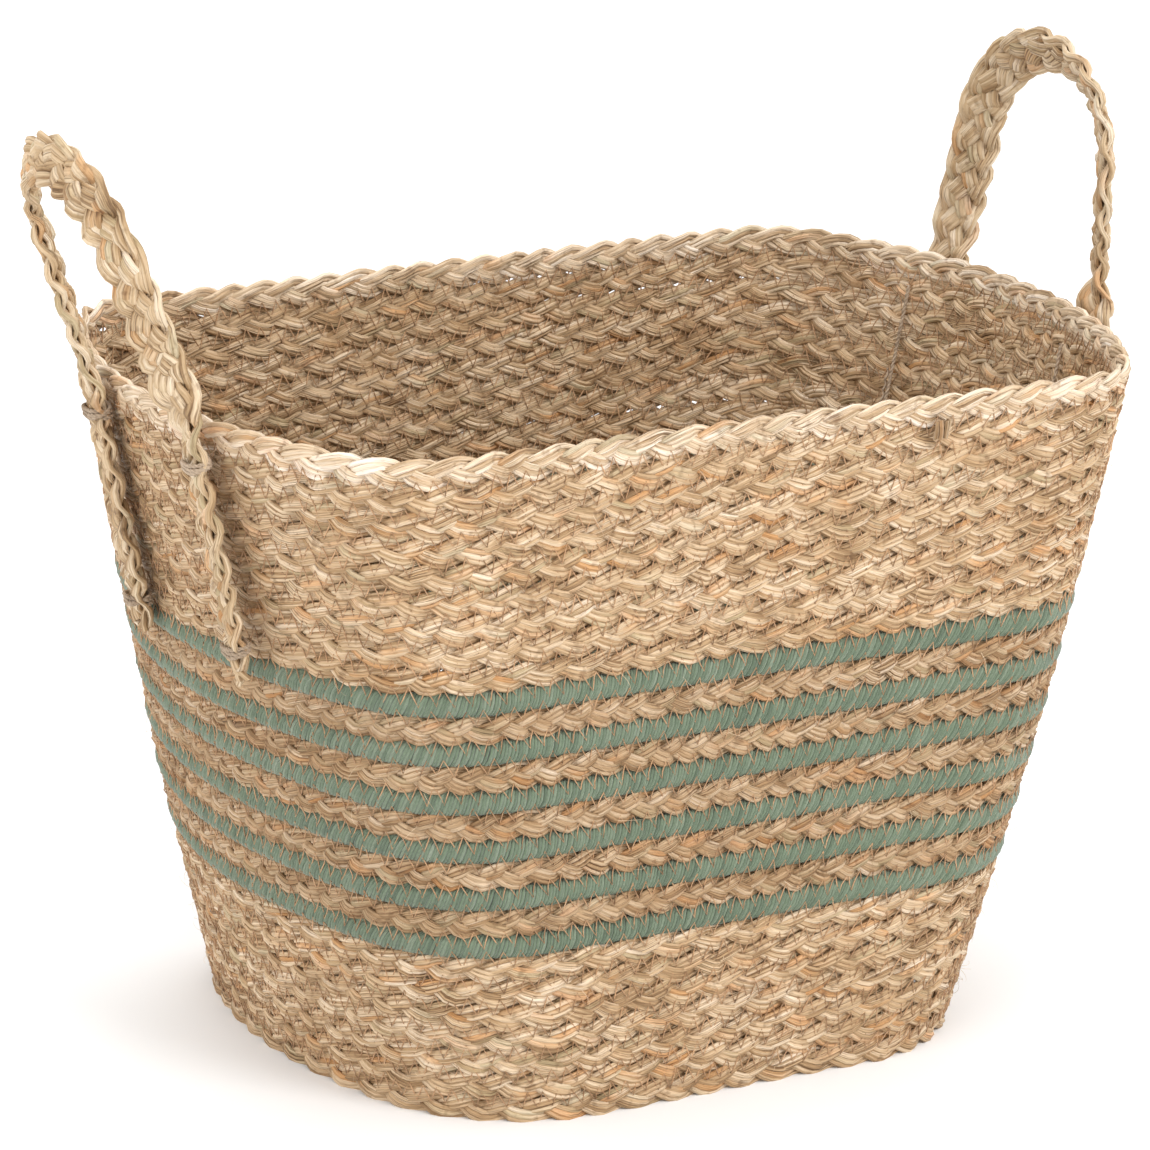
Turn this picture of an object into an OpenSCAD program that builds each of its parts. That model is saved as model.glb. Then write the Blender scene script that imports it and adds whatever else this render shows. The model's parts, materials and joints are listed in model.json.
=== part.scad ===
// Storage basket sewn from seagrass plaits, with a green banded middle and two loop handles.
// Every round of the wall is a ring of its own, stacked on the one below it.
// Millimetres, +Z up, origin on the ground under the middle of the floor, +X along the basket.

/* [Piece] */

/* [Outline] */
// Length of the basket at its foot
base_length = 288; // [240:1:340]
// Width of the basket at its foot
base_width = 240; // [190:1:280]
// Length of the basket at its rim
rim_length = 420; // [360:1:480]
// Width of the basket at its rim
rim_width = 266; // [230:1:320]
// Corner radius at the foot
base_corner = 75; // [55:1:85]
// Corner radius at the rim
rim_corner = 42; // [30:1:60]
// Half the turn of each end's curve at the foot, in degrees
base_end_turn = 17; // [12:0.5:24]
// Half the turn of each end's curve at the rim, in degrees
rim_end_turn = 29; // [20:0.5:34]
// How far the wall bellies out between foot and rim
belly = 2; // [0:0.5:6]

/* [Courses] */
// Height of each round below the green band
lower_height = 10.4; // [8:0.1:12.5]
// Height of each green cord round
green_height = 9.4; // [6:0.1:10]
// Height of each seagrass round between two green ones
stripe_height = 11.2; // [10:0.1:15.5]
// Height of each round above the green band
upper_height = 10.5; // [8:0.1:12.5]
// Height of the top round
rim_height = 10.8; // [8:0.1:13]
// Thickness of a plaited round, front to back
plait_thickness = 7; // [5.5:0.5:9]
// Thickness of the top round, front to back
rim_thickness = 8; // [6.5:0.5:10]
// How far the green cord sits back from the rounds beside it
green_setback = 0.5; // [0:0.1:1]
// Depth of the groove between two rounds
groove_depth = 1.4; // [1:0.1:1.6]
// Height of the bevel on each side of a groove
groove_bevel = 2.2; // [1.5:0.1:2.4]

/* [Floor] */
// Rounds in the coiled floor, outside its straight first run
floor_rounds = 10; // [8:1:12]
// Thickness of the floor's plait
floor_thickness = 6; // [5:0.5:8]
// How far neighbouring floor rounds are pressed into each other
floor_lap = 1.8; // [1.2:0.1:2.6]
// Gap between the floor and the first wall round
floor_clearance = 0.2; // [0.1:0.1:0.5]

/* [Sewing thread] */
// Thickness of the seam thread
thread_thickness = 0.8; // [0.5:0.1:1]
// Gap between a seam thread and the round above it
thread_clearance = 0.2; // [0.1:0.05:0.3]
// How far a seam thread sits in from the round below it
thread_inset = 0.15; // [0.1:0.05:0.2]

/* [Handles] */
// Width of the handle plait
strap_width = 21; // [16:0.5:25]
// Thickness of the handle plait
strap_thickness = 8; // [6:0.5:10]
// Half the width of the left handle's arch
left_half_span = 36; // [30:1:44]
// How much further out each foot of the left arch stands
left_splay = 5; // [0:1:12]
// How far the left handle sits towards the back
left_shift = -9; // [-14:1:8]
// How far the top of the left handle leans towards the back
left_skew = 18; // [-20:1:20]
// How far the tips of the left handle's legs drift towards the back
left_drift = -10; // [-16:1:16]
// Outward lean of the left handle at rest, in degrees
left_lean = 18; // [0:1:20]
// Half the width of the right handle's arch
right_half_span = 46; // [38:1:50]
// How much further out each foot of the right arch stands
right_splay = 7; // [0:1:12]
// How far the right handle sits towards the back
right_shift = 17; // [-8:1:20]
// How far the top of the right handle leans towards the back
right_skew = -13; // [-20:1:20]
// How far the tips of the right handle's legs drift towards the back
right_drift = 0; // [-16:1:16]
// Outward lean of the right handle at rest, in degrees
right_lean = 0; // [0:1:20]
// Roll of the handle plait about its own length above the rim, in degrees
strap_roll = 30; // [20:1:36]
// How far every leg's face is turned towards the back, in degrees
leg_roll = 12; // [4:1:18]
// Height of the handle's top edge above the rim
handle_rise = 106; // [85:1:125]
// Height of a handle's folding line above the rim
fold_rise = 4; // [4:0.5:8]
// Gap left at the fold, on each side of the folding line
fold_gap = 6; // [6:0.5:9]
// How far the legs' tips hang below the top of the highest green round
leg_tip_drop = 6.2; // [2:0.2:12]
// Gap between a leg and the wall
leg_clearance = 0.8; // [0.5:0.1:2]

/* [Ties] */
// Gap between the upper ties and the underside of the rim round
upper_tie_gap = 1.2; // [0.6:0.2:4]
// Height of the lower ties above the legs' tips
lower_tie_rise = 12; // [8:0.5:18]
// Thickness of the twine
twine_thickness = 1.8; // [1.2:0.1:2.5]
// Height of a tie's bundle of turns
tie_height = 3.6; // [2.4:0.1:5]
// How far the twine inside the wall lies behind the middle of its leg
inner_twine_shift = -8; // [-10:1:10]
// Gap between a tie and the leg it holds
tie_clearance = 0.15; // [0.1:0.05:0.4]

/* [Hidden] */
$fa = 2;
$fs = 0.5;
lower_rounds = 7;
green_rounds = 6;
band_rounds = 2 * green_rounds - 1;
upper_rounds = 8;
lower_first = 0;
band_first = lower_rounds;
upper_first = band_first + band_rounds;
rim_first = upper_first + upper_rounds;
height = course_z(rim_first) + rim_height;
fold_z = height + fold_rise;
leg_tip_z = course_z(upper_first) - leg_tip_drop;
upper_tie_z = course_z(rim_first) - upper_tie_gap - tie_height / 2;
lower_tie_z = leg_tip_z + lower_tie_rise;
front_leg = -1;
back_leg = 1;
right_side = 0;
left_side = 1;
left_handle = [left_half_span, left_shift, left_skew, left_lean, left_splay, left_drift];
right_handle = [right_half_span, right_shift, right_skew, right_lean, right_splay, right_drift];
floor_bevel = [2.6, 1.4];
inner_corner_room = 0.6;
arch_steps = 28;
corner_overrun = 0.8;
corner_draw = 0.05;
seagrass_colour = [0.80, 0.68, 0.49];
pale_colour = [0.87, 0.78, 0.60];
dark_colour = [0.72, 0.58, 0.39];
green_colour = [0.44, 0.56, 0.46];
thread_colour = [0.52, 0.38, 0.24];
twine_colour = [0.53, 0.44, 0.36];

// ---- Where the courses lie ----

function mix(low, high, share) = low + (high - low) * share;

function is_green(i) = i >= band_first && i < upper_first && (i - band_first) % 2 == 0;

function course_height(i) =
    i < band_first ? lower_height :
    is_green(i) ? green_height :
    i < upper_first ? stripe_height :
    i < rim_first ? upper_height : rim_height;

// Height of the underside of round i above the ground
function course_z(i) = i == 0 ? 0 : course_z(i - 1) + course_height(i - 1);

// Plan of the wall's outside at a height: half length, half width, corner radius, end turn
function plan_at(z) =
    let (share = z / height, out = belly * 4 * share * (1 - share))
    [
        mix(base_length, rim_length, share) / 2 + out,
        mix(base_width, rim_width, share) / 2 + out,
        mix(base_corner, rim_corner, share),
        mix(base_end_turn, rim_end_turn, share)
    ];

// The same plan moved out by a distance, or in where it is negative
function moved_out(plan, d) = [plan[0] + d, plan[1] + d, plan[2] + d, plan[3]];

function course_plan(i) =
    moved_out(plan_at(course_z(i) + course_height(i) / 2), is_green(i) ? -green_setback : 0);

function course_thickness(i) =
    i == rim_first ? rim_thickness : plait_thickness - (is_green(i) ? green_setback : 0);

// Radius of an end's curve, less the corner radius
function end_reach(plan) = (plan[1] - plan[2]) / sin(plan[3]);

// Half the length of a long side's straight run
function half_straight(plan) = plan[0] - plan[2] - end_reach(plan) * (1 - cos(plan[3]));

// Where the outside of an end lies at a place across the basket
function end_x(plan, y) =
    let (radius = end_reach(plan) + plan[2])
    plan[0] - radius + sqrt(radius * radius - y * y);

// ---- Rings ----

module arc_piece(radius, centre, from, turn) {
    translate([centre[0], centre[1], 0])
        rotate_extrude(angle = turn, start = from)
            translate([radius, 0])
                children();
}

// A section drawn in on every side by a distance
function drawn_in(points, d) =
    let (
        xs = [for (p = points) p[0]],
        ys = [for (p = points) p[1]],
        mid_x = (min(xs) + max(xs)) / 2,
        mid_y = (min(ys) + max(ys)) / 2
    )
    [for (p = points) [p[0] - d * sign(p[0] - mid_x), p[1] - d * sign(p[1] - mid_y)]];

// A ring with two straight sides, two curved ends and four rounder corners, all meeting
// smoothly. Its section has x = 0 on the plan's outline, x negative towards the middle, and
// y up. The corners run a little way into their neighbours, a hair inside them, so that the
// whole ring is one solid.
module ring(plan, section) {
    ends = end_reach(plan);
    straight = half_straight(plan);
    for (flip = [0, 1]) {
        mirror([flip, 0, 0])
            arc_piece(ends + plan[2], [plan[0] - plan[2] - ends, 0], -plan[3], 2 * plan[3])
                polygon(section);
        mirror([0, flip, 0])
            translate([-straight, plan[1], 0])
                rotate([90, 0, 90])
                    linear_extrude(2 * straight)
                        polygon(section);
        for (turned = [0, 1])
            mirror([flip, 0, 0])
                mirror([0, turned, 0])
                    arc_piece(plan[2], [straight, plan[1] - plan[2]], plan[3] - corner_overrun,
                        90 - plan[3] + 2 * corner_overrun)
                        polygon(drawn_in(section, corner_draw));
    }
}

// Section of a plait on edge: flat above and below, bevelled at the grooves
function bevelled(thickness, tall, bevel) = [
    [-thickness + bevel[0], 0],
    [-bevel[0], 0],
    [0, bevel[1]],
    [0, tall - bevel[1]],
    [-bevel[0], tall],
    [-thickness + bevel[0], tall],
    [-thickness, tall - bevel[1]],
    [-thickness, bevel[1]]
];

module wall_course(i) {
    translate([0, 0, course_z(i)])
        ring(course_plan(i),
            bevelled(course_thickness(i), course_height(i), [groove_depth, groove_bevel]));
}

// The seam threads above rounds first to last, each in the groove at the round's top
module seam_rings(first, last) {
    for (i = [first : last])
        translate([0, 0, course_z(i + 1) - thread_clearance - thread_thickness])
            ring(moved_out(course_plan(i), -thread_inset), [
                [-thread_thickness / 2, 0],
                [0, thread_thickness / 2],
                [-thread_thickness / 2, thread_thickness],
                [-thread_thickness, thread_thickness / 2]
            ]);
}

// ---- Floor ----

module floor_coil() {
    outer = moved_out(course_plan(lower_first), -plait_thickness - floor_clearance);
    pitch = outer[1] / (floor_rounds + 1);
    roundness = base_corner / base_width * 2;
    least_corner = pitch + floor_lap + inner_corner_room;
    color(seagrass_colour) {
        for (k = [0 : floor_rounds - 1])
            ring([outer[0] - k * pitch, outer[1] - k * pitch,
                max(roundness * (outer[1] - k * pitch), least_corner), base_end_turn], [
                [-pitch - floor_lap, 0],
                [0, 0],
                [0, floor_thickness - floor_bevel[1]],
                [-floor_bevel[0], floor_thickness],
                [-pitch - floor_lap + floor_bevel[0], floor_thickness],
                [-pitch - floor_lap, floor_thickness - floor_bevel[1]]
            ]);
        first_run(outer[0] - outer[1], pitch + floor_lap);
    }
}

// The straight run that the coil starts from
module first_run(half_run, half_width) {
    translate([-half_run, -half_width, 0])
        cube([2 * half_run, 2 * half_width, floor_thickness]);
    for (side = [-1, 1])
        translate([side * half_run, 0, 0])
            cylinder(r = half_width, h = floor_thickness);
}

// ---- Handles: drawn at the right end, mirrored for the left ----

module side_of(side) {
    mirror([side, 0, 0])
        children();
}

// Middle of a leg at a height: the legs stand wider than the arch and drift along the wall
function leg_y(handle, leg, z) =
    handle[1] + leg * (handle[0] + handle[4]) + handle[5] * (fold_z - z) / (fold_z - leg_tip_z);

// How far a leg tips sideways along the wall
function leg_tip_angle(handle) =
    atan(handle[5] / (fold_z - leg_tip_z) * cos(leg_slope(handle)));

// How far the handle plait reaches from its middle when it is rolled
function strap_reach(roll) =
    strap_width / 2 * sin(roll) + strap_thickness / 2 * cos(roll);

// How far out a leg's middle lies at a height, clear of the wall
function leg_x(handle, leg, z) =
    let (plan = plan_at(z), y = leg_y(handle, leg, z))
    end_x(plan, y) + strap_reach(abs(leg_roll - wall_turn(plan, y))) + leg_clearance;

// How far the end wall has turned towards the back at a place across the basket
function wall_turn(plan, y) = asin(y / (end_reach(plan) + plan[2]));

// Both legs of a handle meet its folding line, at the middle of the further one
function fold_x(handle) =
    max([for (leg = [front_leg, back_leg]) leg_x(handle, leg, height)])
    + fold_rise * tan(leg_slope(handle));

function leg_slope(handle) =
    atan((max([for (leg = [front_leg, back_leg]) leg_x(handle, leg, height)])
        - max([for (leg = [front_leg, back_leg]) leg_x(handle, leg, leg_tip_z)]))
        / (height - leg_tip_z));

// Section of the handle plait: x across its thickness, y across its width
strap_outline = [
    for (q = [[0.5, 0.28], [0.42, 0.40], [0.22, 0.5]]) [q[0], q[1]],
    for (q = [[0.22, 0.5], [0.42, 0.40], [0.5, 0.28]]) [-q[0], q[1]],
    for (q = [[0.5, 0.28], [0.42, 0.40], [0.22, 0.5]]) [-q[0], -q[1]],
    for (q = [[0.22, 0.5], [0.42, 0.40], [0.5, 0.28]]) [q[0], -q[1]]
];

function strap_points() =
    [for (q = strap_outline) [q[0] * strap_thickness, q[1] * strap_width]];

// Puts a leg's own frame in place: +Z along the leg, +X off its outer face
module at_leg(handle, leg, z) {
    slope = leg_slope(handle);
    translate([fold_x(handle) - (fold_z - z) * tan(slope), leg_y(handle, leg, z), z])
        rotate([0, slope, 0])
            rotate([leg_tip_angle(handle), 0, 0])
                rotate([0, 0, leg_roll])
                    children();
}

module handle_leg(handle, leg) {
    at_leg(handle, leg, leg_tip_z)
        linear_extrude((fold_z - fold_gap - leg_tip_z)
                / cos(leg_slope(handle)) / cos(leg_tip_angle(handle)))
            polygon(strap_points());
}

// A tie: turns of twine round a leg, whose two ends go in to the wall
module handle_tie(handle, leg, z) {
    hole = [strap_thickness + 2 * tie_clearance, strap_width + 2 * tie_clearance];
    reach = strap_width;
    difference() {
        at_leg(handle, leg, z)
            translate([0, 0, -tie_height / 2])
                linear_extrude(tie_height)
                    difference() {
                        translate([-reach, -hole[1] / 2 - twine_thickness])
                            square([reach + hole[0] / 2 + twine_thickness,
                                hole[1] + 2 * twine_thickness]);
                        translate([-reach - 1, -hole[1] / 2])
                            square([reach + 1 + hole[0] / 2, hole[1]]);
                    }
        wall_space(z, tie_top(handle, z));
        rim_space();
    }
}

// The room of the rim round, which a tie under it stays clear of
module rim_space() {
    translate([0, -base_width / 2, course_z(rim_first) - tie_clearance])
        cube([rim_length, base_width, rim_height]);
}

// Highest place of a tie's ends, which point up as much as the leg slopes and tips
function tie_top(handle, z) =
    z + tie_height / 2 + strap_width * sin(leg_slope(handle))
    + strap_width / 2 * sin(abs(leg_tip_angle(handle)));

// The wall and the room inside it round a height, for cutting a tie to length
module wall_space(z, top) {
    depth = 3 * strap_width;
    translate([0, 0, z - strap_width])
        intersection() {
            translate([0, -base_width / 2, 0])
                cube([rim_length, base_width, 2 * strap_width]);
            end_band(moved_out(plan_at(min(top, height)), tie_clearance), depth);
        }
}

// The end's part of a ring, solid inwards to a depth
module end_band(plan, depth) {
    ends = end_reach(plan) + plan[2];
    arc_piece(ends, [plan[0] - ends, 0], -plan[3], 2 * plan[3])
        translate([-depth, 0])
            square([depth, 2 * strap_width]);
}

// The twine's run down the inside of the wall, from one tie to the other
module inner_twine(handle, leg) {
    y = leg_y(handle, leg, (lower_tie_z + upper_tie_z) / 2) + inner_twine_shift;
    step = upper_height / 2 * tan(leg_slope(handle));
    depth = plait_thickness + step + twine_thickness / 2 + tie_clearance;
    low = [end_x(plan_at(lower_tie_z), y) - depth, lower_tie_z];
    top = [end_x(plan_at(upper_tie_z), y) - depth, upper_tie_z];
    translate([low[0], y, low[1]])
        rotate([0, atan((top[0] - low[0]) / (top[1] - low[1])), 0])
            cylinder(d = twine_thickness, h = norm(top - low));
}

// The handle's middle line above the fold, with the direction it runs in
function arch_point(handle, t, foot, spring, rise) =
    let (
        z = t < 0 ? foot + (spring - foot) * (1 + t) :
            t > 1 ? foot + (spring - foot) * (2 - t) :
            spring + rise * sin(180 * t),
        y = t < 0 ? handle[0] + handle[4] * (1 - z / spring) :
            t > 1 ? -handle[0] - handle[4] * (1 - z / spring) :
            handle[0] * cos(180 * t)
    )
    [0, handle[1] + handle[2] * z / (spring + rise) + y, z];

function arch_stations(handle, foot, spring, rise) = [
    for (k = [-6 : arch_steps + 6])
        let (
            t = k < 0 ? k / 6 : k > arch_steps ? 1 + (k - arch_steps) / 6 : k / arch_steps,
            step = 0.01,
            ahead = arch_point(handle, min(t + step, 2), foot, spring, rise),
            behind = arch_point(handle, max(t - step, -1), foot, spring, rise),
            way = (ahead - behind) / norm(ahead - behind),
            outward = [0, way[2], -way[1]],
            face = [cos(strap_roll), 0, 0] + sin(strap_roll) * outward
        )
        [arch_point(handle, t, foot, spring, rise), way, face]
];

// A strap swept through a list of places, each with its direction and its face's direction
module strap_sweep(stations) {
    points = [
        for (s = stations, q = strap_points())
            s[0] + q[0] * s[2] + q[1] * cross(s[1], s[2])
    ];
    n = len(strap_outline);
    last = len(stations) - 1;
    polyhedron(
        points = points,
        faces = [
            [for (i = [0 : n - 1]) i],
            [for (i = [n - 1 : -1 : 0]) last * n + i],
            for (k = [0 : last - 1], i = [0 : n - 1])
                each [
                    [k * n + i, (k + 1) * n + i, (k + 1) * n + (i + 1) % n],
                    [k * n + i, (k + 1) * n + (i + 1) % n, k * n + (i + 1) % n]
                ]
        ]
    );
}

module handle_loop(handle) {
    top = handle_rise - fold_rise - strap_width / 2 * cos(strap_roll);
    spring = top - handle[0];
    translate([fold_x(handle), 0, fold_z])
        rotate([0, handle[3], 0])
            strap_sweep(arch_stations(handle, fold_gap, spring, handle[0]));
}

// ---- The pieces ----

module lower_course_1() {
    color(seagrass_colour)
        wall_course(lower_first + 0);
}

module lower_course_2() {
    color(seagrass_colour)
        wall_course(lower_first + 1);
}

module lower_course_3() {
    color(seagrass_colour)
        wall_course(lower_first + 2);
}

module lower_course_4() {
    color(seagrass_colour)
        wall_course(lower_first + 3);
}

module lower_course_5() {
    color(seagrass_colour)
        wall_course(lower_first + 4);
}

module lower_course_6() {
    color(seagrass_colour)
        wall_course(lower_first + 5);
}

module lower_course_7() {
    color(seagrass_colour)
        wall_course(lower_first + 6);
}

module green_course_1() {
    color(green_colour)
        wall_course(band_first + 0);
}

module stripe_course_1() {
    color(dark_colour)
        wall_course(band_first + 1);
}

module green_course_2() {
    color(green_colour)
        wall_course(band_first + 2);
}

module stripe_course_2() {
    color(dark_colour)
        wall_course(band_first + 3);
}

module green_course_3() {
    color(green_colour)
        wall_course(band_first + 4);
}

module stripe_course_3() {
    color(dark_colour)
        wall_course(band_first + 5);
}

module green_course_4() {
    color(green_colour)
        wall_course(band_first + 6);
}

module stripe_course_4() {
    color(dark_colour)
        wall_course(band_first + 7);
}

module green_course_5() {
    color(green_colour)
        wall_course(band_first + 8);
}

module stripe_course_5() {
    color(dark_colour)
        wall_course(band_first + 9);
}

module green_course_6() {
    color(green_colour)
        wall_course(band_first + 10);
}

module upper_course_1() {
    color(seagrass_colour)
        wall_course(upper_first + 0);
}

module upper_course_2() {
    color(seagrass_colour)
        wall_course(upper_first + 1);
}

module upper_course_3() {
    color(seagrass_colour)
        wall_course(upper_first + 2);
}

module upper_course_4() {
    color(seagrass_colour)
        wall_course(upper_first + 3);
}

module upper_course_5() {
    color(seagrass_colour)
        wall_course(upper_first + 4);
}

module upper_course_6() {
    color(seagrass_colour)
        wall_course(upper_first + 5);
}

module upper_course_7() {
    color(seagrass_colour)
        wall_course(upper_first + 6);
}

module upper_course_8() {
    color(seagrass_colour)
        wall_course(upper_first + 7);
}

module rim_course() {
    color(pale_colour)
        wall_course(rim_first);
}

module lower_seams() {
    color(thread_colour)
        seam_rings(lower_first, band_first - 1);
}

module stripe_seams() {
    color(thread_colour)
        seam_rings(band_first, upper_first - 1);
}

module upper_seams() {
    color(thread_colour)
        seam_rings(upper_first, rim_first - 1);
}

module left_handle_loop() {
    color(seagrass_colour)
        side_of(left_side) handle_loop(left_handle);
}

module left_handle_front_leg() {
    color(seagrass_colour)
        side_of(left_side) handle_leg(left_handle, front_leg);
}

module left_handle_back_leg() {
    color(seagrass_colour)
        side_of(left_side) handle_leg(left_handle, back_leg);
}

module left_front_upper_tie() {
    color(twine_colour)
        side_of(left_side) handle_tie(left_handle, front_leg, upper_tie_z);
}

module left_front_lower_tie() {
    color(twine_colour)
        side_of(left_side) handle_tie(left_handle, front_leg, lower_tie_z);
}

module left_front_inner_twine() {
    color(twine_colour)
        side_of(left_side) inner_twine(left_handle, front_leg);
}

module left_back_upper_tie() {
    color(twine_colour)
        side_of(left_side) handle_tie(left_handle, back_leg, upper_tie_z);
}

module left_back_lower_tie() {
    color(twine_colour)
        side_of(left_side) handle_tie(left_handle, back_leg, lower_tie_z);
}

module left_back_inner_twine() {
    color(twine_colour)
        side_of(left_side) inner_twine(left_handle, back_leg);
}

module right_handle_loop() {
    color(seagrass_colour)
        side_of(right_side) handle_loop(right_handle);
}

module right_handle_front_leg() {
    color(seagrass_colour)
        side_of(right_side) handle_leg(right_handle, front_leg);
}

module right_handle_back_leg() {
    color(seagrass_colour)
        side_of(right_side) handle_leg(right_handle, back_leg);
}

module right_front_upper_tie() {
    color(twine_colour)
        side_of(right_side) handle_tie(right_handle, front_leg, upper_tie_z);
}

module right_front_lower_tie() {
    color(twine_colour)
        side_of(right_side) handle_tie(right_handle, front_leg, lower_tie_z);
}

module right_front_inner_twine() {
    color(twine_colour)
        side_of(right_side) inner_twine(right_handle, front_leg);
}

module right_back_upper_tie() {
    color(twine_colour)
        side_of(right_side) handle_tie(right_handle, back_leg, upper_tie_z);
}

module right_back_lower_tie() {
    color(twine_colour)
        side_of(right_side) handle_tie(right_handle, back_leg, lower_tie_z);
}

module right_back_inner_twine() {
    color(twine_colour)
        side_of(right_side) inner_twine(right_handle, back_leg);
}

floor_coil();
lower_course_1();
lower_course_2();
lower_course_3();
lower_course_4();
lower_course_5();
lower_course_6();
lower_course_7();
green_course_1();
stripe_course_1();
green_course_2();
stripe_course_2();
green_course_3();
stripe_course_3();
green_course_4();
stripe_course_4();
green_course_5();
stripe_course_5();
green_course_6();
upper_course_1();
upper_course_2();
upper_course_3();
upper_course_4();
upper_course_5();
upper_course_6();
upper_course_7();
upper_course_8();
rim_course();
lower_seams();
stripe_seams();
upper_seams();
left_handle_loop();
left_handle_front_leg();
left_handle_back_leg();
left_front_upper_tie();
left_front_lower_tie();
left_front_inner_twine();
left_back_upper_tie();
left_back_lower_tie();
left_back_inner_twine();
right_handle_loop();
right_handle_front_leg();
right_handle_back_leg();
right_front_upper_tie();
right_front_lower_tie();
right_front_inner_twine();
right_back_upper_tie();
right_back_lower_tie();
right_back_inner_twine();
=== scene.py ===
"""Looks of an oblong storage basket: seagrass plaits and green cord sewn in rounds, two plaited handles."""
import functools
import json
import math

import bpy
import numpy as np
from mathutils import Matrix, Vector, noise


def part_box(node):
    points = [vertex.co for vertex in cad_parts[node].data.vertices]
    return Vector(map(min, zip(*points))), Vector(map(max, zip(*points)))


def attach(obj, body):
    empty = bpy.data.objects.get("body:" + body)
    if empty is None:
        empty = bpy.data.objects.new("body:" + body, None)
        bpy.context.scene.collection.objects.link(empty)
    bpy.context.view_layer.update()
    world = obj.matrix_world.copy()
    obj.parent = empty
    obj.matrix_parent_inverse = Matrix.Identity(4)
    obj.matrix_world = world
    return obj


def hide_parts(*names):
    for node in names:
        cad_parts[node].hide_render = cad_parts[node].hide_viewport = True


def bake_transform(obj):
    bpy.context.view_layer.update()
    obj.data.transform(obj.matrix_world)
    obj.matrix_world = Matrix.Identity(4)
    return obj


bl_info = {
    "name": "Seagrass basket",
    "version": (1, 0, 0),
    "blender": (4, 5, 0),
    "location": "View3D > Sidebar > Basket",
    "description": "Plaits, cords, stitches, handles and ties of a sewn seagrass basket",
    "category": "Object",
}

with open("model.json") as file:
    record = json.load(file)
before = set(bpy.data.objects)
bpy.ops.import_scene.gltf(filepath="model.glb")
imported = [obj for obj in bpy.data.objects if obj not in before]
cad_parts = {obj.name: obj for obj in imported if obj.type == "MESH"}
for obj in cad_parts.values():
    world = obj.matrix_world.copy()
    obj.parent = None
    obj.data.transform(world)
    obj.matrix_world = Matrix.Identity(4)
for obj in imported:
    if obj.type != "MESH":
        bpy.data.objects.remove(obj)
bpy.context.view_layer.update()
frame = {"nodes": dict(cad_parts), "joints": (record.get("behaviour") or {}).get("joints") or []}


# ---- Sizes and colours ----


def length(name, default, description):
    return bpy.props.FloatProperty(
        name=name, description=description, default=default, unit="LENGTH", precision=5, min=0.0)


def angle(name, degrees, description):
    return bpy.props.FloatProperty(
        name=name, description=description, default=math.radians(degrees), subtype="ANGLE",
        unit="ROTATION")


def offset(name, default, description):
    return bpy.props.FloatProperty(
        name=name, description=description, default=default, unit="LENGTH", precision=5)


def count(name, default, description):
    return bpy.props.IntProperty(name=name, description=description, default=default, min=1)


def colour(name, default, description):
    return bpy.props.FloatVectorProperty(
        name=name, description=description, default=default, size=3, subtype="COLOR", min=0.0, max=1.0)


class BasketWallSizes(bpy.types.PropertyGroup):
    """The oval the rounds follow and the plaits they are made of"""
    base_corner: length("Base corner", 0.075, "Corner radius of the oval at the ground")
    rim_corner: length("Rim corner", 0.042, "Corner radius of the oval at the rim")
    base_end_turn: angle("Base end turn", 17, "Half the turn of each rounded end at the ground")
    rim_end_turn: angle("Rim end turn", 29, "Half the turn of each rounded end at the rim")
    plait_thickness: length("Plait thickness", 0.007, "Thickness of a wall plait")
    wall_stroke: length("Wall stroke", 0.0480, "Length of one full crossing of a wall plait")
    rim_stroke: length("Rim stroke", 0.0450, "Length of one full crossing of the rim plait")
    stripe_stroke: length("Stripe stroke", 0.0375, "Length of one full crossing of a stripe plait")
    floor_stroke: length("Floor stroke", 0.0480, "Length of one full crossing of the floor plait")
    unevenness: length("Unevenness", 0.0008, "How far the rounds wander from their oval")
    blades: count("Blades", 3, "Blades of grass in a strand")


class BasketCordSizes(bpy.types.PropertyGroup):
    """The green cotton cord"""
    strands: count("Strands", 9, "Yarns in the cord")
    stroke: length("Stroke", 0.0125, "Length of one full crossing of a yarn")
    yarn: length("Yarn", 0.00082, "Half the width of a yarn")


class BasketSewingSizes(bpy.types.PropertyGroup):
    """The machine stitching between the rounds"""
    stroke: length("Stroke", 0.0032, "Length along the seam of one stroke of the zigzag")
    reach: length("Reach", 0.0037, "How far the zigzag reaches from the seam")
    thread: length("Thread", 0.00029, "Radius of the thread")
    tie_twine: length("Tie twine", 0.0009, "Radius of the twine in the handle ties")


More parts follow.
